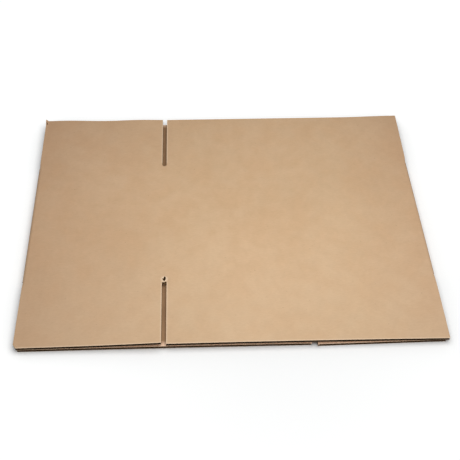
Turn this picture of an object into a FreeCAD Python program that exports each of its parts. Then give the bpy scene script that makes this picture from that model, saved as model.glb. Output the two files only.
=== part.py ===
import FreeCAD, Part
import math
import os
import Sketcher

# A slotted shipping box of single-wall corrugated board, glued at one joint and knocked down flat.
# It is one folded sheet: an upper ply and a lower ply, joined by a fold at the left and at the right.
# The flutes run from front to back, and the flaps of both plies lie along the front and back edges.
# X runs from the left fold to the right fold, Y from front to back, Z up from what the box lies on.
# The origin is below the middle of the flat box.

SIZES = {
    # flat box
    "flat_width": 457.0,
    "flat_depth": 327.0,
    "ply_gap": 3.2,
    # corrugated board
    "board": 4.1,
    "liner": 0.35,
    "medium": 0.3,
    "flute_pitch": 7.8,
    "flank_angle": 51.0,
    "edge_margin": 4.4,
    # folds
    "fold_radius": 4.0,
    "fold_wall": 3.0,
    # flaps and the slots between them
    "flap_depth": 81.0,
    "slot_width": 5.2,
    "narrow_panel": 156.0,
    "lower_setback": 3.5,
    "lower_back_setback": 2.0,
    # torn end of the front slot, and the heart-shaped tear past it
    "torn_length": 6.1,
    "torn_slant": 1.2,
    "tear_distance": 0.3,
    "tear_width": 3.8,
    "tear_length": 6.0,
    "tear_notch": 2.4,
    "tear_lobe": 1.7,
    "tear_left_height": 3.1,
    # manufacturer's joint
    "wide_lower_panel": 310.7,
    "joint_gap": 4.5,
    "joint_gap_inside": 0.8,
    "joint_slot": 6.7,
    "tab_width": 35.0,
    "tab_ramp": 6.0,
    "tab_taper": 12.0,
    "tab_end_gap": 2.0,
    "tab_clearance": 0.2,
    # creases on the inner faces
    "crease_width": 2.4,
    "crease_depth": 0.2,
}

# Heights of the two plies
LOWER_TOP = "sizes.board"
UPPER_BOTTOM = "(sizes.board + sizes.ply_gap)"
UPPER_TOP = "(2 * sizes.board + sizes.ply_gap)"

# Places across the width
LEFT = "(-sizes.flat_width / 2)"
RIGHT = "(sizes.flat_width / 2)"
SLOT_CENTRE = "(-sizes.flat_width / 2 + sizes.narrow_panel)"
SLOT_LEFT = f"({SLOT_CENTRE} - sizes.slot_width / 2)"
SLOT_RIGHT = f"({SLOT_CENTRE} + sizes.slot_width / 2)"
JOINT_LEFT = "(-sizes.flat_width / 2 + sizes.wide_lower_panel)"
JOINT_CREASE = f"({JOINT_LEFT} + sizes.joint_gap)"
JOINT_FLAP = f"({JOINT_LEFT} + sizes.joint_slot)"

# Places along the depth
FRONT = "(-sizes.flat_depth / 2)"
BACK = "(sizes.flat_depth / 2)"
LOWER_BACK = "(sizes.flat_depth / 2 - sizes.lower_back_setback)"
FRONT_CREASE = "(-sizes.flat_depth / 2 + sizes.flap_depth)"
BACK_CREASE = "(sizes.flat_depth / 2 - sizes.flap_depth)"
BODY_HEIGHT = "(sizes.flat_depth - 2 * sizes.flap_depth)"

# One flute: a channel as high as the space between the liners, with leaning flanks. Its crest is three
# flats laid round the circle that fits between the flanks.
FLUTE_SPACE = "(sizes.board - 2 * sizes.liner)"
FLANK = "(sizes.flank_angle * 1 deg)"
FLUTE_HALF = (
    f"((sizes.flute_pitch / 2 + {FLUTE_SPACE} / tan({FLANK}) - sizes.medium / sin({FLANK})) / 2)"
)
CREST_RADIUS = (
    f"(({FLUTE_HALF} * tan({FLANK}) - {FLUTE_SPACE} + sizes.medium) / (1 / cos({FLANK}) - 1))"
)
CREST_FLAT = f"({CREST_RADIUS} * tan({FLANK} / 4))"
SHOULDER_HALF = f"({CREST_RADIUS} * sin({FLANK}) - {CREST_FLAT} * cos({FLANK}))"
SHOULDER_RISE = f"({CREST_RADIUS} * (1 - cos({FLANK})) - {CREST_FLAT} * sin({FLANK}))"
FLUTE_ROOM = f"(sizes.flat_width - 2 * sizes.edge_margin - 2 * {FLUTE_HALF} - sizes.flute_pitch / 2)"
FLUTE_COUNT = f"floor({FLUTE_ROOM} / sizes.flute_pitch) + 1"

doc = FreeCAD.newDocument("flattened_box")


def make_sheet():
    """The driving sizes, one to a row, each with its name and value."""
    sheet = doc.addObject("Spreadsheet::Sheet", "sizes")
    for row, (name, value) in enumerate(SIZES.items(), start=1):
        sheet.set(f"A{row}", name)
        sheet.set(f"B{row}", str(value))
        sheet.setAlias(f"B{row}", name)
    doc.recompute()


def make_sketch(body, name, plane, height=None):
    """A sketch on one of the body's origin planes, or at a height above it."""
    sketch = body.newObject("Sketcher::SketchObject", name)
    support = [item for item in body.Origin.OriginFeatures if item.Role == plane][0]
    sketch.AttachmentSupport = (support, [""])
    sketch.MapMode = "FlatFace"
    if height:
        sketch.setExpression("AttachmentOffset.Base.z", height)
    return sketch


def tangent_arc(start, end, heading):
    """The arc from start to end that leaves start along heading and turns left."""
    across = FreeCAD.Vector(-heading.y, heading.x, 0).normalize()
    chord = end - start
    radius = chord.dot(chord) / (2 * across.dot(chord))
    centre = start + across * radius
    outward = FreeCAD.Vector(chord.y, -chord.x, 0).normalize()
    return Part.Arc(start, centre + outward * radius, end)


def draw_outline(sketch, corners):
    """A closed outline, counterclockwise, with every corner held at its two distances from the origin.

    A corner is (x, y), or (x, y, "arc") where an arc leaves it that is tangent to the side before it.
    No arc leaves the first corner.
    """
    points = [
        FreeCAD.Vector(sketch.evalExpression(corner[0]), sketch.evalExpression(corner[1]), 0)
        for corner in corners
    ]
    sides = []
    for index, corner in enumerate(corners):
        start, end = points[index], points[(index + 1) % len(points)]
        if len(corner) == 3:
            sides.append(tangent_arc(start, end, start - points[index - 1]))
        else:
            sides.append(Part.LineSegment(start, end))
    first = sketch.addGeometry(sides, False)[0]
    count = len(corners)
    for index, corner in enumerate(corners):
        before, side = first + (index - 1) % count, first + index
        joint = "Tangent" if len(corner) == 3 else "Coincident"
        sketch.addConstraint(Sketcher.Constraint(joint, before, 2, side, 1))
    for index, corner in enumerate(corners):
        for kind, place, value in (
            ("DistanceX", corner[0], points[index].x),
            ("DistanceY", corner[1], points[index].y),
        ):
            held = sketch.addConstraint(Sketcher.Constraint(kind, -1, 1, first + index, 1, value))
            sketch.setExpression(f"Constraints[{held}]", place)


def draw_rectangle(sketch, left, right, low, high):
    draw_outline(sketch, [(left, low), (right, low), (right, high), (left, high)])


def add_feature(body, kind, name, sketch, length, both_ways=False):
    """A pad or pocket of the sketch, to one side or half to each side of it."""
    feature = body.newObject(f"PartDesign::{kind}", name)
    feature.Profile = sketch
    feature.Type = "Length"
    feature.SideType = "Symmetric" if both_ways else "One side"
    feature.setExpression("Length", length)
    return feature


def add_sleeve(body):
    """The four panels between the flap creases: both plies and the folds that join them."""
    sketch = make_sketch(body, "sleeve_section", "XZ_Plane")
    radius = "sizes.fold_radius"
    draw_outline(sketch, [
        (f"{LEFT} + {radius}", "0"),
        (f"{RIGHT} - {radius}", "0", "arc"),
        (RIGHT, radius),
        (RIGHT, f"{UPPER_TOP} - {radius}", "arc"),
        (f"{RIGHT} - {radius}", UPPER_TOP),
        (f"{LEFT} + {radius}", UPPER_TOP, "arc"),
        (LEFT, f"{UPPER_TOP} - {radius}"),
        (LEFT, radius, "arc"),
    ])
    inner_left = f"{LEFT} + sizes.fold_wall + sizes.ply_gap / 2"
    inner_right = f"{RIGHT} - sizes.fold_wall - sizes.ply_gap / 2"
    draw_outline(sketch, [
        (inner_left, LOWER_TOP),
        (inner_right, LOWER_TOP, "arc"),
        (inner_right, UPPER_BOTTOM),
        (inner_left, UPPER_BOTTOM, "arc"),
    ])
    add_feature(body, "Pad", "sleeve", sketch, BODY_HEIGHT, both_ways=True)


def add_flaps(body):
    """The flaps of both plies. Each lower flap stops short of the folds and of the joint.

    The plies aren't cut to one line: at the back the lower one falls short of the upper one.
    """
    upper = make_sketch(body, "upper_flap_outlines", "XY_Plane", UPPER_BOTTOM)
    lower = make_sketch(body, "lower_flap_outlines", "XY_Plane")
    lower_left = f"{LEFT} + sizes.lower_setback"
    lower_right = f"{RIGHT} - sizes.lower_setback"
    for low, high in ((FRONT, FRONT_CREASE), (BACK_CREASE, BACK)):
        draw_rectangle(upper, LEFT, RIGHT, low, high)
    for low, high in ((FRONT, FRONT_CREASE), (BACK_CREASE, LOWER_BACK)):
        draw_rectangle(lower, lower_left, JOINT_LEFT, low, high)
        draw_rectangle(lower, JOINT_FLAP, lower_right, low, high)
    add_feature(body, "Pad", "upper_flaps", upper, "sizes.board")
    add_feature(body, "Pad", "lower_flaps", lower, "sizes.board")


def draw_flute(sketch, centre, base, upward):
    """One flute, its flat side on the liner at the base height and its crest above or below it."""
    crest = f"({FLUTE_SPACE} - sizes.medium)"
    side = [(FLUTE_HALF, "0"), (SHOULDER_HALF, f"({crest} - {SHOULDER_RISE})"), (CREST_FLAT, crest)]
    if upward:
        right = [(f"{centre} + {out}", f"{base} + {away}") for out, away in side]
        left = [(f"{centre} - {out}", f"{base} + {away}") for out, away in reversed(side)]
    else:
        right = [(f"{centre} - {out}", f"{base} - {away}") for out, away in side]
        left = [(f"{centre} + {out}", f"{base} - {away}") for out, away in reversed(side)]
    draw_outline(sketch, right + left)


def add_flutes(body):
    """The corrugated medium of both plies, as the flutes that it leaves open on its two sides."""
    sketch = make_sketch(body, "flute_section", "XZ_Plane")
    first = f"({LEFT} + sizes.edge_margin + {FLUTE_HALF})"
    for bottom in ("0", UPPER_BOTTOM):
        draw_flute(sketch, first, f"({bottom} + sizes.board - sizes.liner)", upward=False)
        draw_flute(sketch, f"({first} + sizes.flute_pitch / 2)", f"({bottom} + sizes.liner)", upward=True)
    flute = add_feature(body, "Pocket", "first_flutes", sketch, "sizes.flat_depth", both_ways=True)
    row = body.newObject("PartDesign::LinearPattern", "flutes")
    across = [item for item in body.Origin.OriginFeatures if item.Role == "X_Axis"][0]
    row.Originals = [flute]
    row.Direction = (across, [""])
    row.Mode = "Spacing"
    row.setExpression("Offset", "sizes.flute_pitch")
    row.setExpression("Occurrences", FLUTE_COUNT)
    body.Tip = row


def add_upper_slots(body):
    """The slots between the two upper panels' flaps. The front one ends torn, with a tear past its end."""
    sketch = make_sketch(body, "upper_slot_outlines", "XY_Plane", UPPER_TOP)
    slot_end = f"({FRONT_CREASE} - sizes.torn_length)"
    draw_outline(sketch, [
        (SLOT_LEFT, FRONT),
        (SLOT_RIGHT, FRONT),
        (SLOT_RIGHT, f"{slot_end} + sizes.torn_slant"),
        (SLOT_LEFT, slot_end),
    ])
    round_start = f"{BACK_CREASE} + sizes.slot_width / 2"
    draw_outline(sketch, [
        (SLOT_RIGHT, BACK),
        (SLOT_LEFT, BACK),
        (SLOT_LEFT, round_start, "arc"),
        (SLOT_RIGHT, round_start),
    ])
    tear_tip = f"({slot_end} + sizes.torn_slant + sizes.tear_distance)"
    tear_right = f"({SLOT_CENTRE} + sizes.tear_width / 2)"
    lobe_start = f"({tear_tip} + sizes.tear_length - sizes.tear_lobe / 2)"
    draw_outline(sketch, [
        (SLOT_CENTRE, tear_tip),
        (tear_right, f"{tear_tip} + sizes.tear_notch"),
        (tear_right, lobe_start, "arc"),
        (f"{tear_right} - sizes.tear_lobe", lobe_start),
        (f"{tear_right} - sizes.tear_lobe", f"{tear_tip} + sizes.tear_notch"),
        (f"{SLOT_CENTRE} - sizes.tear_width / 2", f"{tear_tip} + sizes.tear_left_height"),
    ])
    add_feature(body, "Pocket", "upper_slots", sketch, "sizes.board + sizes.ply_gap / 2")


def add_joint(body):
    """The manufacturer's joint: the glue tab inside that bridges it, and the butt gap below the tab."""
    tab = make_sketch(body, "glue_tab_section", "XZ_Plane")
    tab_top = f"({UPPER_BOTTOM} - sizes.tab_clearance)"
    tab_end = f"({JOINT_LEFT} - sizes.tab_width)"
    draw_outline(tab, [
        (tab_end, LOWER_TOP),
        (f"{JOINT_LEFT} + sizes.tab_ramp", LOWER_TOP),
        (JOINT_LEFT, tab_top),
        (tab_end, tab_top),
    ])
    tab_length = f"({BODY_HEIGHT} - 2 * sizes.tab_end_gap)"
    add_feature(body, "Pad", "glue_tab", tab, tab_length, both_ways=True)
    taper = make_sketch(body, "tab_taper_outlines", "XY_Plane", tab_top)
    end = f"({tab_length} / 2)"
    draw_outline(taper, [
        (tab_end, end),
        (tab_end, f"{end} - sizes.tab_taper"),
        (JOINT_LEFT, end),
    ])
    draw_outline(taper, [
        (tab_end, f"-{end}"),
        (JOINT_LEFT, f"-{end}"),
        (tab_end, f"sizes.tab_taper - {end}"),
    ])
    add_feature(body, "Pocket", "tab_tapers", taper, "sizes.ply_gap - sizes.tab_clearance")
    gap = make_sketch(body, "joint_gap_section", "XZ_Plane")
    draw_outline(gap, [
        (JOINT_LEFT, "0"),
        (JOINT_CREASE, "0"),
        (f"{JOINT_LEFT} + sizes.joint_gap_inside", LOWER_TOP),
        (JOINT_LEFT, LOWER_TOP),
    ])
    add_feature(body, "Pocket", "joint_gap", gap, BODY_HEIGHT, both_ways=True)


def draw_crease(sketch, place, face):
    """A crease of an inner face, as a kite that lies half in the board and half in the air."""
    draw_outline(sketch, [
        (f"{place} - sizes.crease_width / 2", face),
        (place, f"{face} - sizes.crease_depth"),
        (f"{place} + sizes.crease_width / 2", face),
        (place, f"{face} + sizes.crease_depth"),
    ])


def add_creases(body):
    """The creases pressed into the inner faces: between panels and flaps, and between the upper panels."""
    across = make_sketch(body, "flap_crease_section", "YZ_Plane")
    for place in (FRONT_CREASE, BACK_CREASE):
        draw_crease(across, place, LOWER_TOP)
        draw_crease(across, place, UPPER_BOTTOM)
    crease_length = "sizes.flat_width - 2 * sizes.edge_margin"
    add_feature(body, "Pocket", "flap_creases", across, crease_length, both_ways=True)
    along = make_sketch(body, "panel_crease_section", "XZ_Plane")
    draw_crease(along, SLOT_CENTRE, UPPER_BOTTOM)
    add_feature(body, "Pocket", "panel_crease", along, BODY_HEIGHT, both_ways=True)


def make_box():
    body = doc.addObject("PartDesign::Body", "flattened_box")
    body.Label = "flattened_box"
    add_sleeve(body)
    add_flaps(body)
    add_joint(body)
    add_upper_slots(body)
    add_creases(body)
    doc.recompute()
    add_flutes(body)
    body.Placement = FreeCAD.Placement()
    doc.recompute()
    return body


def check_document(body):
    """Every object is sound, every pad adds and every pocket takes away, and one solid comes out."""
    for item in doc.Objects:
        if "Invalid" in item.State or "Error" in item.State:
            raise RuntimeError(f"{item.Label} failed: {item.State}")
    volume = 0.0
    for feature in body.Group:
        if feature.TypeId in ("PartDesign::Pad", "PartDesign::Pocket", "PartDesign::LinearPattern"):
            change = feature.Shape.Volume - volume
            grows = feature.TypeId == "PartDesign::Pad"
            print(f"{feature.Label}: {change:+.1f} cubic mm, {len(feature.Shape.Faces)} faces")
            if grows != (change > 0) or math.isclose(change, 0, abs_tol=0.01):
                raise RuntimeError(f"{feature.Label} changes nothing or the wrong way")
            volume = feature.Shape.Volume
    shape = body.Shape
    if shape.isNull() or not shape.isValid() or len(shape.Solids) != 1:
        raise RuntimeError(f"{body.Label} is not one valid solid")
    box = shape.BoundBox
    print(f"{box.XLength:.2f} x {box.YLength:.2f} x {box.ZLength:.2f} mm, {shape.Volume / 1000:.1f} cubic cm")


make_sheet()
flattened_box = make_box()
check_document(flattened_box)
os.makedirs("parts", exist_ok=True)
flattened_box.Shape.exportStep(f"parts/{flattened_box.Label}.step")
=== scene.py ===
import math

import bmesh
import bpy
import numpy as np
from mathutils import Matrix, Vector


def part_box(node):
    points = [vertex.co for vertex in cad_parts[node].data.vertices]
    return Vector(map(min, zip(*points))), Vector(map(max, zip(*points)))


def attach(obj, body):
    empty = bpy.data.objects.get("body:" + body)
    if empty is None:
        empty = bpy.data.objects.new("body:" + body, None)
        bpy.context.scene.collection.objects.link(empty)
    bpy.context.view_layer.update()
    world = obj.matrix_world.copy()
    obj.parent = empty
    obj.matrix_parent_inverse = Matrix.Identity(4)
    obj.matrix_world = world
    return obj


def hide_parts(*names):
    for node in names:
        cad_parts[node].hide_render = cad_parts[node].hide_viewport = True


# A slotted box of corrugated board, glued at one joint and knocked down flat.
# It is one blank: two liners and the fluting between them, cut, slotted and folded round on itself.
# The blank is drawn flat, in (s, y), and place() folds it. s runs across the flutes, from the wide lower
# panel's cut edge, round the left fold, over the upper ply, round the right fold, to the glue tab.
# Lengths here are in millimetres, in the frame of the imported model.

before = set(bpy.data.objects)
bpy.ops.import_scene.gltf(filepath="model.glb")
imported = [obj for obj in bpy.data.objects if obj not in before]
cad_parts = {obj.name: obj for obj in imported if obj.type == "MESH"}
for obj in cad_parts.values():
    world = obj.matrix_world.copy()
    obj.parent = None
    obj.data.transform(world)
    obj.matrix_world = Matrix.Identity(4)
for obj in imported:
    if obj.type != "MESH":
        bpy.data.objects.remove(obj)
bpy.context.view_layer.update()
MM = 0.001

LOW, HIGH = (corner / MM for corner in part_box("flattened_box"))
LEFT, RIGHT, FRONT, BACK, TOP = LOW.x, HIGH.x, LOW.y, HIGH.y, HIGH.z

# Corrugated board
BOARD = 4.1
LINER = 0.35
MEDIUM = 0.3
PITCH = 7.8
FLUTE_START = LEFT + 9.35
WASHBOARD = 0.05

# Flaps, slots and the manufacturer's joint
CREASE = BACK - 81.0
SLOT = LEFT + 156.0
SLOT_HALF = 2.6
TORN_END = -CREASE - 6.1
TORN_SLANT = 1.2
# The torn end between the slot's sides, from the slot's middle and the torn end's left corner.
TORN_EDGE = ((-1.2, 0.5), (0.4, 0.3), (0.9, TORN_SLANT))
TORN_RIGHT = TORN_SLANT - 0.2
LOWER_BACK = BACK - 2.0
LOWER_SETBACK = 3.5
JOINT = LEFT + 310.7
JOINT_FLAP = JOINT + 6.7
JOINT_CREASE = JOINT + 4.5
TAB_WIDTH = 35.0
TAB_END_GAP = 2.0
TAB_TAPER = 12.0
TAB_HEIGHT = 3.0
STEP_FOOT = 6.5
STEP_FOOT_INNER = 5.5
STEP_TOP = 0.8

# Folds
FOLD_RUN = 6.0
FOLD_RADIUS = 4.0
FOLD_WALL = 3.0
FOLD_BLEND = 12.0

# How the flaps lie. The sag is how far the upper ply's front edge lies below its panels: the narrow flap
# rests on the lower ply at the fold and stands up at the slot, and the wide one hangs most at its fold.
# Each is a polynomial of the share of the flap's width, from the left.
SAG_NARROW = (3.2, -2.7, 0.0, -2.6)
SAG_WIDE = (1.0, -3.6, 7.5, -1.7)
SAG_CURVE = 1.6
# The wide lower flap's front edge is arched, and the narrow one is skewed.
LOWER_ARCH = 0.95
SKEW_FRONT = 1.25
SKEW_BACK = 0.6
# The upper ply's back right corner stands up.
CORNER_LIFT = 1.6
CORNER_REACH = 75.0
# The narrow back flap's edge is wavy: each wave has its middle and reach, as shares of its width, and its
# height. The flap's corner at the fold ends in a bent-up tip.
WAVES = ((0.16, 0.34, 1.6), (0.78, 0.26, 1.0))
TIP_LIFT = 3.8
TIP_REACH = 4.8
# The upper flaps are cut a little narrower than the panels where they meet the folds.
INSET_LEFT_FRONT = 1.2
INSET_LEFT_BACK = 1.0
INSET_RIGHT_FRONT = 1.4
INSET_RIGHT_BACK = 0.6
# The upper ply's front left corner is worn off.
WORN_WIDTH = 2.8
WORN_LENGTH = 4.2
# The slot at the back was cut a little to the left of the one at the front.
BACK_SLOT = SLOT - 1.2
# The inner liner is bent up, and forward at the front, beside the cuts at the joint.
BURR = 2.1
BURR_REACH = 2.0
BURR_FORWARD = 0.9
# The tear past the front slot's end, from the slot's middle and the tear's foot. It bares pale fibres, with
# a highlight painted round it.
TEAR_FOOT = TORN_END + TORN_SLANT + 0.3
TEAR = (
    (0.2, 0.0), (1.1, 1.7), (1.6, 3.2), (1.6, 4.9), (1.2, 6.0), (0.4, 6.4), (-0.3, 5.9), (-0.4, 4.9),
    (-0.7, 3.9), (-1.3, 3.9), (-2.3, 3.6), (-1.8, 2.5), (-0.9, 1.1),
)
TEAR_MIDDLE = (SLOT, TORN_END + 4.4, 0.0)
TEAR_REACH = 3.0
# The width of the highlight painted round the tear.
TEAR_HIGHLIGHT_RING = 1.6
TEAR_DEPTH = 3.0


def smooth(share):
    """A smooth step from 0 to 1."""
    share = np.clip(share, 0.0, 1.0)
    return share * share * (3.0 - 2.0 * share)


def arc(centre, radius, start, end, count=12):
    """Points of an arc, angles in degrees."""
    angles = np.radians(np.linspace(start, end, count))
    return [(centre[0] + radius * math.cos(a), centre[1] + radius * math.sin(a)) for a in angles]


class Path:
    """A line of points in section, read by its share of the length."""

    def __init__(self, points):
        self.points = np.array(points, float)
        steps = np.hypot(*np.diff(self.points, axis=0).T)
        self.length = float(steps.sum())
        self.shares = np.concatenate([[0.0], np.cumsum(steps)]) / self.length

    def at(self, share):
        return (np.interp(share, self.shares, self.points[:, 0]),
                np.interp(share, self.shares, self.points[:, 1]))


FLAT_END = RIGHT - FOLD_RUN
INNER_RADIUS = TOP / 2 - BOARD
FOLD_OUTER = Path(
    [(FLAT_END, TOP)]
    + arc((RIGHT - FOLD_RADIUS, TOP - FOLD_RADIUS), FOLD_RADIUS, 90, 0)
    + arc((RIGHT - FOLD_RADIUS, FOLD_RADIUS), FOLD_RADIUS, 0, -90)
    + [(FLAT_END, 0.0)]
)
FOLD_INNER = Path(
    [(FLAT_END, TOP - BOARD)]
    + arc((RIGHT - FOLD_WALL - INNER_RADIUS, TOP / 2), INNER_RADIUS, 90, -90)
    + [(FLAT_END, BOARD)]
)
FOLD_LENGTH = FOLD_OUTER.length
TURN = 2 * FLAT_END + FOLD_LENGTH

# At the joint the narrow lower panel steps up on to the wide one as the glue tab.
JOINT_START = JOINT + STEP_FOOT
STEP_OUTER = Path([(JOINT_START, 0.0), (JOINT_CREASE, 0.0), (JOINT + STEP_TOP, BOARD), (JOINT, BOARD)])
STEP_INNER = Path([(JOINT_START, BOARD), (JOINT + STEP_FOOT_INNER, BOARD), (JOINT, BOARD + TAB_HEIGHT)])
STEP_LENGTH = STEP_OUTER.length


def lower_place(x, right=True):
    """The blank's s of a place in the lower ply, reached round the right or the left fold."""
    return TURN - x if right else -(TURN + x)


def blend(first, second, share):
    return first + (second - first) * share


def fold(s, y, depth):
    """The folded place of points of the blank. Depth is measured from the outer face."""
    side = np.where(s < 0, -1.0, 1.0)
    a = np.abs(s)
    inner = depth / BOARD
    # upper ply, flat
    x, z = a.copy(), TOP - depth
    # fold
    share = np.clip((a - FLAT_END) / FOLD_LENGTH, 0, 1)
    (outer_x, outer_z), (inner_x, inner_z) = FOLD_OUTER.at(share), FOLD_INNER.at(share)
    fold_x, fold_z = blend(outer_x, inner_x, inner), blend(outer_z, inner_z, inner)
    lower_x, lower_z = TURN - a, depth.copy()
    below = a > FLAT_END + FOLD_LENGTH / 2
    flat_x, flat_z = np.where(below, lower_x, x), np.where(below, lower_z, z)
    flap = smooth((np.abs(y) - CREASE) / FOLD_BLEND)
    in_fold = (a > FLAT_END) & (a < FLAT_END + FOLD_LENGTH)
    x = np.where(in_fold, blend(fold_x, flat_x, flap), flat_x)
    z = np.where(in_fold, blend(fold_z, flat_z, flap), flat_z)
    # joint and glue tab
    start = lower_place(JOINT_START)
    share = np.clip((a - start) / STEP_LENGTH, 0, 1)
    (outer_x, outer_z), (inner_x, inner_z) = STEP_OUTER.at(share), STEP_INNER.at(share)
    past = np.clip(a - start - STEP_LENGTH, 0, None)
    stepped = (side > 0) & (a > start)
    x = np.where(stepped, blend(outer_x, inner_x, inner) - past, x)
    z = np.where(stepped, blend(outer_z, inner_z, inner), z)
    return x * side, z


def front_sag(x):
    """How far the upper ply's front edge lies below its panels."""
    narrow = np.polyval(SAG_NARROW[::-1], (x - LEFT) / (SLOT - LEFT))
    wide = np.polyval(SAG_WIDE[::-1], (x - SLOT) / (RIGHT - SLOT))
    return np.where(x < SLOT, narrow, wide)


def narrow_back_lift(x):
    """How far the narrow back flap's edge stands up off its panel's plane."""
    share = (x - LEFT) / (SLOT - LEFT)
    return sum(height * smooth(1 - np.abs(share - middle) / reach) for middle, reach, height in WAVES)


def joint_burr(s, depth):
    """How far the inner liner of the two lower flaps stands up beside the gap between them."""
    cuts = lower_place(JOINT, right=False), lower_place(JOINT_FLAP)
    near = sum(smooth(1 - np.abs(s - cut) / BURR_REACH) for cut in cuts)
    return BURR * near * np.clip(depth / BOARD, 0, 1) ** 3


def lower_arch(x):
    """How far the wide lower flap's front edge stands up off the surface between its ends."""
    share = np.clip((x - LEFT) / (JOINT - LEFT), 0, 1)
    return LOWER_ARCH * np.sin(math.pi * share)


def place(s, y, depth):
    """Where points of the blank lie in the box as it rests: folded, then sagged and skewed."""
    s, y, depth = (np.asarray(values, float) for values in (s, y, depth))
    x, z = fold(s, y, depth)
    upper = np.abs(s) < FLAT_END + FOLD_LENGTH / 2
    front_share = np.clip((-CREASE - y) / (BACK - CREASE), 0, 1)
    bend = front_share ** SAG_CURVE
    z = z + np.where(upper, -front_sag(x), np.where(s < 0, lower_arch(x), 0)) * bend
    # the back corners stand up a little, the left one with a bent tip, and the narrow back flap is wavy
    away = np.hypot(RIGHT - x, BACK - y) / CORNER_REACH
    z = z + np.where(upper, CORNER_LIFT * smooth(1 - away), 0)
    back_share = np.clip((y - CREASE) / (BACK - CREASE), 0, 1)
    away = np.hypot(LEFT - x, BACK - y) / TIP_REACH
    lift = narrow_back_lift(x) * back_share ** SAG_CURVE + TIP_LIFT * smooth(1 - away)
    z = z + np.where(upper & (x < SLOT), lift, 0)
    burr = joint_burr(s, depth) * np.clip((np.abs(y) - CREASE) / (BACK - CREASE), 0, 1) ** 2
    z = z + burr
    y = y - BURR_FORWARD * burr * (y < 0)
    # the narrow lower panel's flap is skewed towards the front at the joint
    narrow = (s > lower_place(RIGHT)) & (s < lower_place(JOINT_FLAP) + 0.01)
    skew_share = (RIGHT - x) / (RIGHT - JOINT_FLAP)
    skew = blend(SKEW_BACK, -SKEW_FRONT, skew_share)
    y = y + np.where(narrow, skew * front_share, 0)
    return np.stack([x, y, z], axis=1) * MM


def blank_outline():
    """The blank's cut edge, counterclockwise in (s, y), from the wide lower panel's front corner."""
    wide_end = lower_place(JOINT, right=False)
    left_low = lower_place(-(RIGHT - LOWER_SETBACK), right=False)
    right_low = lower_place(RIGHT - LOWER_SETBACK)
    narrow_end = lower_place(JOINT_FLAP)
    tab_start = lower_place(JOINT_START) + STEP_LENGTH
    tab_end = tab_start + TAB_WIDTH
    front = [
        (wide_end, FRONT), (left_low, FRONT), (left_low, -CREASE), (LEFT + INSET_LEFT_FRONT, -CREASE),
        (LEFT - 0.2, FRONT + WORN_LENGTH), (LEFT + WORN_WIDTH, FRONT),
        (SLOT - SLOT_HALF, FRONT), (SLOT - SLOT_HALF, TORN_END),
        *((SLOT + across, TORN_END + along) for across, along in TORN_EDGE),
        (SLOT + SLOT_HALF, TORN_END + TORN_RIGHT), (SLOT + SLOT_HALF, FRONT),
        (RIGHT - INSET_RIGHT_FRONT / 3, FRONT), (RIGHT - INSET_RIGHT_FRONT, -CREASE),
        (right_low, -CREASE), (right_low, FRONT), (narrow_end, FRONT),
        (narrow_end, -CREASE), (tab_start, TAB_END_GAP - CREASE),
        (tab_end, TAB_END_GAP + TAB_TAPER - CREASE),
    ]
    slot_round = arc((BACK_SLOT, CREASE + SLOT_HALF), SLOT_HALF, 0, -180, 13)
    back = [
        (tab_end, CREASE - TAB_END_GAP - TAB_TAPER), (tab_start, CREASE - TAB_END_GAP),
        (narrow_end, CREASE), (narrow_end, LOWER_BACK), (right_low, LOWER_BACK), (right_low, CREASE),
        (RIGHT - INSET_RIGHT_BACK, CREASE), (RIGHT, BACK), (BACK_SLOT + SLOT_HALF, BACK),
        *slot_round, (BACK_SLOT - SLOT_HALF, BACK), (LEFT + INSET_LEFT_BACK, BACK),
        (LEFT + INSET_LEFT_BACK, CREASE), (left_low, CREASE), (left_low, LOWER_BACK),
        (wide_end, LOWER_BACK),
    ]
    return front + back


def tear_outline():
    """The comma-shaped tear past the front slot's end, with a wedge at its left."""
    return [(SLOT + across, TEAR_FOOT + along) for across, along in TEAR]


def cut_blank(columns, rows):
    """The blank as a flat mesh in (s, y), divided at the given columns and rows."""
    mesh = bmesh.new()
    for outline in (blank_outline(), tear_outline()):
        corners = [mesh.verts.new((s, y, 0)) for s, y in outline]
        for index, corner in enumerate(corners):
            mesh.edges.new((corner, corners[(index + 1) % len(corners)]))
    bmesh.ops.triangle_fill(mesh, use_beauty=True, edges=mesh.edges[:], normal=(0, 0, 1))
    for places, normal in ((columns, (1, 0, 0)), (rows, (0, 1, 0))):
        for value in places:
            bmesh.ops.bisect_plane(
                mesh, geom=mesh.verts[:] + mesh.edges[:] + mesh.faces[:], dist=1e-5,
                plane_co=Vector(normal) * value, plane_no=normal)
    bmesh.ops.recalc_face_normals(mesh, faces=mesh.faces[:])
    if mesh.faces[:][0].normal.z < 0:
        bmesh.ops.reverse_faces(mesh, faces=mesh.faces[:])
    return mesh


NEAR_FACE, FAR_FACE, CUT_RIM = range(3)


def sheet_object(name, blank, near, far, materials):
    """A sheet of the blank between two depths, each a function of s.

    Its materials are those of its near face, its far face and its cut rim.
    """
    blank.verts.index_update()
    flat = np.array([vert.co[:2] for vert in blank.verts])
    s, y = flat[:, 0], flat[:, 1]
    points = np.concatenate([place(s, y, near(s)), place(s, y, far(s))])
    count = len(flat)
    faces, slots = [], []
    for face in blank.faces:
        ring = [vert.index for vert in face.verts]
        faces.append(ring)
        faces.append([index + count for index in reversed(ring)])
        slots += [NEAR_FACE, FAR_FACE]
    for edge in blank.edges:
        if len(edge.link_faces) == 1:
            loop = edge.link_loops[0]
            a, b = loop.vert.index, loop.link_loop_next.vert.index
            faces.append([b, a, a + count, b + count])
            slots.append(CUT_RIM)
    mesh = bpy.data.meshes.new(name)
    mesh.from_pydata(points.tolist(), [], faces)
    mesh.polygons.foreach_set("material_index", slots)
    mesh.polygons.foreach_set("use_smooth", [slot != CUT_RIM for slot in slots])
    for material in materials:
        mesh.materials.append(material)
    mesh.validate()
    mesh.update()
    mark_hard_edges(mesh)
    sheet = bpy.data.objects.new(name, mesh)
    bpy.context.scene.collection.objects.link(sheet)
    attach(sheet, "root")
    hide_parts("flattened_box")
    return sheet


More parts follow.
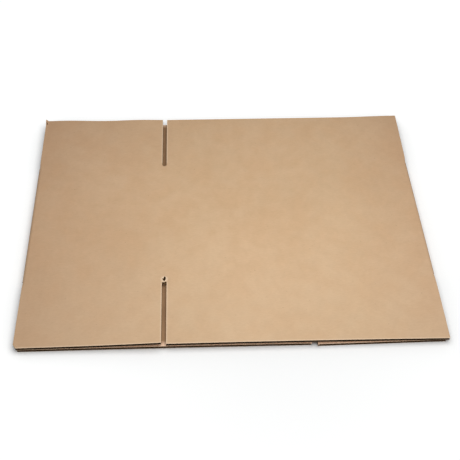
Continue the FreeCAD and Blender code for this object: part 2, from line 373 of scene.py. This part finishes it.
def mark_hard_edges(mesh):
    """Edges between a face and the cut rim stay sharp."""
    work = bmesh.new()
    work.from_mesh(mesh)
    for edge in work.edges:
        if len(edge.link_faces) == 2:
            edge.smooth = edge.link_faces[0].material_index == edge.link_faces[1].material_index
    work.to_mesh(mesh)
    work.free()


def wave(s):
    """The fluting's height between the liners, from 0 to 1, at a place across the blank."""
    return 0.5 - 0.5 * np.cos(2 * math.pi * (s - FLUTE_START) / PITCH)


def wave_depth(s):
    """The depth of the middle of the fluting."""
    near, far = LINER + MEDIUM / 2, BOARD - LINER - MEDIUM / 2
    return near + (far - near) * wave(s)


def half_wave_thickness(s):
    """Half of the fluting's thickness, measured through the board, where it leans."""
    rise = (BOARD - 2 * LINER - MEDIUM) * math.pi / PITCH
    slope = rise * np.sin(2 * math.pi * (s - FLUTE_START) / PITCH)
    return MEDIUM / 2 * np.sqrt(1 + slope ** 2)


# Rows of the mesh close to the creases, where the flaps begin to bend.
BEND_ROWS = (3, 7)


def build_box():
    start, end = lower_place(JOINT, right=False), lower_place(JOINT_START) + STEP_LENGTH + TAB_WIDTH
    fold_places = np.linspace(FLAT_END, FLAT_END + FOLD_LENGTH, 17)
    step_places = lower_place(JOINT_START) + np.linspace(0, STEP_LENGTH, 8)
    burr_places = [
        cut + side * BURR_REACH * share for cut, side in
        ((lower_place(JOINT, right=False), 1), (lower_place(JOINT_FLAP), -1))
        for share in (0.25, 0.5, 0.75, 1)]
    special = np.concatenate([fold_places, -fold_places, step_places, burr_places])
    rows = np.concatenate([
        np.linspace(FRONT, -CREASE, 12)[1:-1], np.linspace(-CREASE, CREASE, 9),
        np.linspace(CREASE, BACK, 10)[1:-1],
        [side * (CREASE + out) for side in (-1, 1) for out in BEND_ROWS],
    ])
    liner_columns = np.concatenate([np.arange(start + 1, end, PITCH / 4), special])
    fluting_columns = np.concatenate([np.arange(start + 0.2, end, PITCH / 12), special])
    fluting_paper_and_shade, liner_rim_highlight = fluting_material(), cut_material("cut_liner_highlight", 1.0)
    blank = cut_blank(liner_columns, rows)
    sheet_object(
        "outer_liner", blank, lambda s: WASHBOARD * wave(s), lambda s: LINER + 0 * s,
        (outer_liner_material(), fluting_paper_and_shade, liner_rim_highlight))
    sheet_object(
        "inner_liner", blank, lambda s: BOARD - LINER + 0 * s, lambda s: BOARD - WASHBOARD * (1 - wave(s)),
        (fluting_paper_and_shade, inner_liner_material(), liner_rim_highlight))
    blank.free()
    blank = cut_blank(fluting_columns, rows[::2])
    sheet_object(
        "fluting", blank, lambda s: wave_depth(s) - half_wave_thickness(s),
        lambda s: wave_depth(s) + half_wave_thickness(s),
        (fluting_paper_and_shade, fluting_paper_and_shade, cut_material("cut_fluting_shade", 0.0)))
    blank.free()


class Nodes:
    """A short way to build a material's nodes."""

    def __init__(self, name):
        self.material = bpy.data.materials.new(name)
        self.material.use_nodes = True
        self.tree = self.material.node_tree
        self.shader = self.tree.nodes["Principled BSDF"]

    def add(self, kind, inputs=None, **settings):
        node = self.tree.nodes.new(kind)
        for key, value in settings.items():
            setattr(node, key, value)
        for key, value in (inputs or {}).items():
            if isinstance(value, bpy.types.NodeSocket):
                self.tree.links.new(value, node.inputs[key])
            else:
                node.inputs[key].default_value = value
        return node

    def link(self, output, socket):
        self.tree.links.new(output, socket)

    def place(self, scale):
        """Object coordinates, stretched."""
        coordinates = self.add("ShaderNodeTexCoord")
        mapping = self.add("ShaderNodeMapping", {"Vector": coordinates.outputs["Object"], "Scale": scale})
        return mapping.outputs["Vector"]

    def noise(self, scale, detail=4.0, roughness=0.5, stretch=(1, 1, 1)):
        texture = self.add("ShaderNodeTexNoise", {
            "Vector": self.place(stretch), "Scale": scale, "Detail": detail, "Roughness": roughness})
        return texture.outputs["Fac"]

    def levels(self, value, low, high, to_low=0.0, to_high=1.0):
        node = self.add("ShaderNodeMapRange", {
            "Value": value, "From Min": low, "From Max": high, "To Min": to_low, "To Max": to_high})
        return node.outputs["Result"]

    def math(self, operation, first, second):
        return self.add("ShaderNodeMath", {0: first, 1: second}, operation=operation).outputs[0]

    def mix(self, share, first, second, kind="MIX"):
        node = self.add("ShaderNodeMix", data_type="RGBA", blend_type=kind)
        for key, value in ((0, share), (6, first), (7, second)):
            if isinstance(value, bpy.types.NodeSocket):
                self.link(value, node.inputs[key])
            else:
                node.inputs[key].default_value = value
        return node.outputs[2]


def colour(red, green, blue):
    """A linear colour from 8-bit display values."""
    linear = [
        ((value / 255 + 0.055) / 1.055) ** 2.4 if value > 10.3 else value / 3294.6
        for value in (red, green, blue)]
    return (*linear, 1)


def smooth_bump(nodes, height, strength, distance):
    bump = nodes.add("ShaderNodeBump", {"Height": height, "Strength": strength, "Distance": distance})
    nodes.link(bump.outputs["Normal"], nodes.shader.inputs["Normal"])


def paper_grain(nodes, base):
    """Fibres that lie across the flutes, and a few dark specks."""
    fibres = nodes.noise(900.0, detail=5.0, roughness=0.7, stretch=(0.25, 1, 1))
    base = nodes.mix(nodes.levels(fibres, 0.3, 0.75, 0.0, 0.4), base,
                     nodes.mix(1.0, base, (0.80, 0.77, 0.74, 1), "MULTIPLY"))
    specks = nodes.levels(nodes.noise(620.0, detail=1.0, stretch=(0.6, 1, 1)), 0.74, 0.82, 0.0, 0.35)
    smooth_bump(nodes, fibres, 0.25, 0.00012)
    nodes.link(nodes.levels(fibres, 0.3, 0.7, 0.62, 0.78), nodes.shader.inputs["Roughness"])
    nodes.shader.inputs["Specular IOR Level"].default_value = 0.25
    return nodes.mix(specks, base, colour(120, 88, 60))


def tear_distance(nodes):
    """How far a place is from the middle of the tear past the front slot's end, across the board."""
    flat = nodes.place((1, 1, 0))
    away = nodes.add("ShaderNodeVectorMath", {0: flat, 1: Vector(TEAR_MIDDLE) * MM}, operation="DISTANCE")
    return away.outputs["Value"]


# How far in from a cut edge the painted highlight of the outer liner and the painted light on the inner
# one's pale margin reach:
# whole up to the first place, and gone at the second.
RIM_WHOLE, RIM_GONE = 0.4, 1.6
MARGIN_WHOLE, MARGIN_GONE = 2.0, 7.0
# The highlights painted on the slots' rims begin this far out from the creases.
RIM_START, RIM_FULL = 4.0, 7.0


def outer_liner_material():
    """The outer kraft liner: broad clouds of tone, patches of hue, painted shade towards its margins, and a
    painted highlight at the cuts and round the tear.
    """
    nodes = Nodes("kraft_liner")
    split = nodes.add("ShaderNodeSeparateXYZ", {"Vector": nodes.place((1, 1, 1))})
    across, along = split.outputs["X"], split.outputs["Y"]
    tone = nodes.levels(nodes.noise(6.0, detail=2.0), 0.3, 0.7)
    base = nodes.mix(tone, colour(214, 181, 144), colour(223, 190, 153))
    hue = nodes.levels(nodes.noise(38.0, detail=2.0), 0.35, 0.65)
    base = nodes.mix(hue, base, nodes.mix(0.4, base, colour(216, 176, 135)))
    mottle = nodes.levels(nodes.noise(80.0, detail=2.0), 0.3, 0.7, 0.0, 0.09)
    base = nodes.mix(mottle, base, colour(160, 128, 98))
    # painted shade: it is darker towards its left, right and back margins, where the light falls off, and
    # greyer towards the front
    left = nodes.levels(across, LEFT * MM, 0.2 * LEFT * MM, 0.20, 0.0)
    right = nodes.levels(across, 0.6 * RIGHT * MM, RIGHT * MM, 0.0, 0.14)
    back = nodes.levels(along, 0.2 * BACK * MM, BACK * MM, 0.0, 0.05)
    painted_margin_shade = nodes.math("ADD", nodes.math("ADD", left, right), back)
    base = nodes.mix(painted_margin_shade, base, colour(178, 122, 98))
    front = nodes.levels(along, 0.0, FRONT * MM, 0.0, 0.12)
    base = nodes.mix(front, base, colour(206, 186, 160))
    # a highlight is painted round the tear
    ring = nodes.levels(tear_distance(nodes), TEAR_REACH * MM, (TEAR_REACH + TEAR_HIGHLIGHT_RING) * MM, 0.7, 0.0)
    base = nodes.mix(ring, base, colour(240, 214, 184))
    # a highlight is painted along the cut edges of the front and of the slots
    front_rim = nodes.levels(along, (FRONT + RIM_GONE) * MM, (FRONT + RIM_WHOLE) * MM)
    slot_place = nodes.levels(along, -CREASE * MM, CREASE * MM, SLOT * MM, BACK_SLOT * MM)
    slot_distance = nodes.math("ABSOLUTE", nodes.math("SUBTRACT", across, slot_place), 0.0)
    slot_rim = nodes.levels(slot_distance, (SLOT_HALF + RIM_GONE) * MM, (SLOT_HALF + RIM_WHOLE) * MM)
    out = nodes.math("ABSOLUTE", along, 0.0)
    in_flap = nodes.levels(out, (CREASE + RIM_START) * MM, (CREASE + RIM_FULL) * MM)
    painted_rim_highlight = nodes.math("MAXIMUM", front_rim, nodes.math("MULTIPLY", slot_rim, in_flap))
    base = nodes.mix(nodes.math("MULTIPLY", painted_rim_highlight, 0.7), base, colour(238, 211, 180))
    nodes.link(paper_grain(nodes, base), nodes.shader.inputs["Base Color"])
    return nodes.material


def inner_liner_material():
    """The inner liner: browner, partly its own tone and partly painted shade, with painted light on a pale
    margin at the cut edges.
    """
    nodes = Nodes("inner_liner")
    split = nodes.add("ShaderNodeSeparateXYZ", {"Vector": nodes.place((1, 1, 1))})
    # the browner base is partly the liner's own tone and partly painted shade for its dim inside
    tone = nodes.levels(nodes.noise(30.0, detail=3.0), 0.3, 0.7)
    base = nodes.mix(tone, colour(160, 124, 90), colour(176, 138, 102))
    out = nodes.math("ABSOLUTE", split.outputs["Y"], 0.0)
    # the pale margin at the cut edges is painted light
    painted_light_margin = nodes.levels(out, (BACK - MARGIN_GONE) * MM, (BACK - MARGIN_WHOLE) * MM)
    base = nodes.mix(painted_light_margin, base, colour(244, 210, 181))
    nodes.link(paper_grain(nodes, base), nodes.shader.inputs["Base Color"])
    return nodes.material


def cut_material(name, tone):
    """The rim of a cut sheet: fuzzy paper. A tone of 1 is a pale painted highlight and a tone of 0 is
    brown, painted shade in the open flutes.
    """
    nodes = Nodes(name)
    fuzz = nodes.noise(1600.0, detail=4.0)
    dark = nodes.mix(tone, colour(60, 38, 22), colour(205, 170, 136))
    pale = nodes.mix(tone, colour(90, 62, 40), colour(242, 216, 184))
    nodes.link(nodes.mix(nodes.levels(fuzz, 0.3, 0.7), dark, pale), nodes.shader.inputs["Base Color"])
    nodes.shader.inputs["Roughness"].default_value = 0.9
    nodes.shader.inputs["Specular IOR Level"].default_value = 0.15
    smooth_bump(nodes, fuzz, 0.4, 0.0001)
    return nodes.material


def fluting_material():
    """The medium and the liners' hidden sides: rougher than the outer liner, and much darker, partly a
    browner paper and partly painted shade.
    """
    nodes = Nodes("fluting_paper_and_shade")
    grain = nodes.noise(700.0, detail=5.0, stretch=(1, 0.3, 1))
    base = nodes.mix(nodes.levels(grain, 0.3, 0.7), colour(46, 27, 13), colour(68, 43, 24))
    # painted shade makes it darker in the upper ply and painted light paler in the lower one, and bare
    # fibres show in the tear
    height = nodes.add("ShaderNodeSeparateXYZ", {"Vector": nodes.place((1, 1, 1))}).outputs["Z"]
    lower, upper = nodes.mix(0.5, base, colour(116, 84, 58)), nodes.mix(0.6, base, colour(26, 15, 8))
    base = nodes.mix(nodes.levels(height, BOARD * MM, (TOP - BOARD) * MM), lower, upper)
    torn_from = TEAR_REACH + TEAR_DEPTH
    torn = nodes.levels(tear_distance(nodes), torn_from * MM, (torn_from + 1.0) * MM, 0.8, 0.0)
    base = nodes.mix(torn, base, colour(176, 134, 84))
    nodes.link(base, nodes.shader.inputs["Base Color"])
    nodes.shader.inputs["Roughness"].default_value = 0.85
    nodes.shader.inputs["Specular IOR Level"].default_value = 0.2
    smooth_bump(nodes, grain, 0.3, 0.0001)
    return nodes.material


# Lights: a soft lamp close above the box, a little to its front and right, and an even cool surround.
# Their shares of the light on the upper ply below the lamp add up to 1.
LAMP_PLACE = (0.055, -0.115, 0.56)
LAMP_SIZE = 0.55
LAMP_SHARE = 0.78
SURROUND_SHARE = 0.22
LAMP_ENERGY = 3.15
LAMP_COLOUR = (1.0, 0.99, 0.975)
SURROUND_COLOUR = (0.95, 0.985, 1.0, 1)

FLOOR_SIZE = 8.0
FLOOR_DROP = 0.0002
FLOOR_COLOUR = 0.93
FLOOR_WHITE = 0.985
# How far the painted contact shadow on the floor reaches.
CONTACT_REACH = 0.045


def floor_material():
    """A white floor that keeps the box's soft shadow. Seen directly, it makes up for the lamp's falloff,
    and ambient occlusion dims that glow near the box as a painted contact shadow.
    """
    nodes = Nodes("white_floor")
    grain = nodes.noise(3.0, detail=1.0)
    floor_white = (FLOOR_COLOUR, FLOOR_COLOUR, FLOOR_COLOUR, 1)
    floor_cool = (FLOOR_COLOUR - 0.01, FLOOR_COLOUR, FLOOR_COLOUR + 0.01, 1)
    nodes.link(nodes.mix(grain, floor_white, floor_cool), nodes.shader.inputs["Base Color"])
    nodes.shader.inputs["Roughness"].default_value = 1.0
    nodes.shader.inputs["Specular IOR Level"].default_value = 0.0
    # the lamp's light falls off as the fourth power of the cosine of its angle
    foot = (LAMP_PLACE[0], LAMP_PLACE[1], 0.0)
    away = nodes.add("ShaderNodeVectorMath", {0: nodes.place((1, 1, 1)), 1: foot}, operation="DISTANCE")
    slope = nodes.math("DIVIDE", away.outputs["Value"], LAMP_PLACE[2])
    cosine_squared = nodes.math("DIVIDE", 1.0, nodes.math("ADD", nodes.math("POWER", slope, 2.0), 1.0))
    falloff = nodes.math("POWER", cosine_squared, 2.0)
    light = nodes.math("ADD", nodes.math("MULTIPLY", falloff, LAMP_SHARE), SURROUND_SHARE)
    missing = nodes.math("SUBTRACT", FLOOR_WHITE, nodes.math("MULTIPLY", light, FLOOR_COLOUR))
    # ambient occlusion dims the glow near the box: a painted contact shadow
    painted_contact_shadow = nodes.add("ShaderNodeAmbientOcclusion", {"Distance": CONTACT_REACH}, samples=8)
    glow = nodes.math("MULTIPLY", missing, nodes.math("POWER", painted_contact_shadow.outputs["AO"], 2.0))
    seen = nodes.add("ShaderNodeLightPath").outputs["Is Camera Ray"]
    nodes.shader.inputs["Emission Color"].default_value = (1, 1, 1, 1)
    nodes.link(nodes.math("MULTIPLY", glow, seen), nodes.shader.inputs["Emission Strength"])
    return nodes.material


def build_floor():
    mesh = bpy.data.meshes.new("floor")
    half = FLOOR_SIZE / 2
    corners = [(-half, -half, 0), (half, -half, 0), (half, half, 0), (-half, half, 0)]
    mesh.from_pydata(corners, [], [(0, 1, 2, 3)])
    mesh.materials.append(floor_material())
    floor = bpy.data.objects.new("floor", mesh)
    floor.location.z = -FLOOR_DROP
    bpy.context.scene.collection.objects.link(floor)


# Camera: the photograph's view, fitted to the box's edges. The image is 460 by 460 pixels.
IMAGE = 460.0
SENSOR = 36.0
FOCAL_PIXELS = 721.2
CAMERA_AZIMUTH = -2.56
CAMERA_ELEVATION = 53.084
CAMERA_ROLL = 0.916
CAMERA_PLACE = (-38.4, -519.9, 678.4)
CENTRE_OFFSET = (-16.36, 0.93)


def build_camera():
    data = bpy.data.cameras.new("camera")
    data.sensor_width = SENSOR
    data.lens = FOCAL_PIXELS / IMAGE * SENSOR
    data.shift_x = -CENTRE_OFFSET[0] / IMAGE
    data.shift_y = CENTRE_OFFSET[1] / IMAGE
    azimuth, elevation, roll = (
        math.radians(angle) for angle in (CAMERA_AZIMUTH, CAMERA_ELEVATION, CAMERA_ROLL))
    forward = Vector((
        -math.cos(elevation) * math.sin(azimuth), math.cos(elevation) * math.cos(azimuth),
        -math.sin(elevation)))
    right = Vector((math.cos(azimuth), math.sin(azimuth), 0))
    up = right.cross(forward)
    rolled_right = right * math.cos(roll) + up * math.sin(roll)
    rolled_up = up * math.cos(roll) - right * math.sin(roll)
    turn = Matrix((rolled_right, rolled_up, -forward)).transposed().to_4x4()
    camera = bpy.data.objects.new("camera", data)
    camera.matrix_world = Matrix.Translation(Vector(CAMERA_PLACE) * MM) @ turn
    bpy.context.scene.collection.objects.link(camera)
    bpy.context.scene.camera = camera


def build_lights():
    """The lamp and the surround, which is white where it is seen directly."""
    world = bpy.data.worlds.new("surround")
    world.use_nodes = True
    background = world.node_tree.nodes["Background"]
    background.inputs["Color"].default_value = SURROUND_COLOUR
    path = world.node_tree.nodes.new("ShaderNodeLightPath")
    strength = world.node_tree.nodes.new("ShaderNodeMapRange")
    strength.inputs["To Min"].default_value = SURROUND_SHARE
    strength.inputs["To Max"].default_value = 1.0
    world.node_tree.links.new(path.outputs["Is Camera Ray"], strength.inputs["Value"])
    world.node_tree.links.new(strength.outputs["Result"], background.inputs["Strength"])
    bpy.context.scene.world = world
    data = bpy.data.lights.new("softbox", "AREA")
    data.shape = "SQUARE"
    data.size = LAMP_SIZE
    data.energy = LAMP_ENERGY
    data.color = LAMP_COLOUR
    light = bpy.data.objects.new("softbox", data)
    light.location = LAMP_PLACE
    light.visible_camera = False
    bpy.context.scene.collection.objects.link(light)


build_box()
build_floor()
build_camera()
build_lights()
bpy.context.scene.view_settings.view_transform = "Standard"
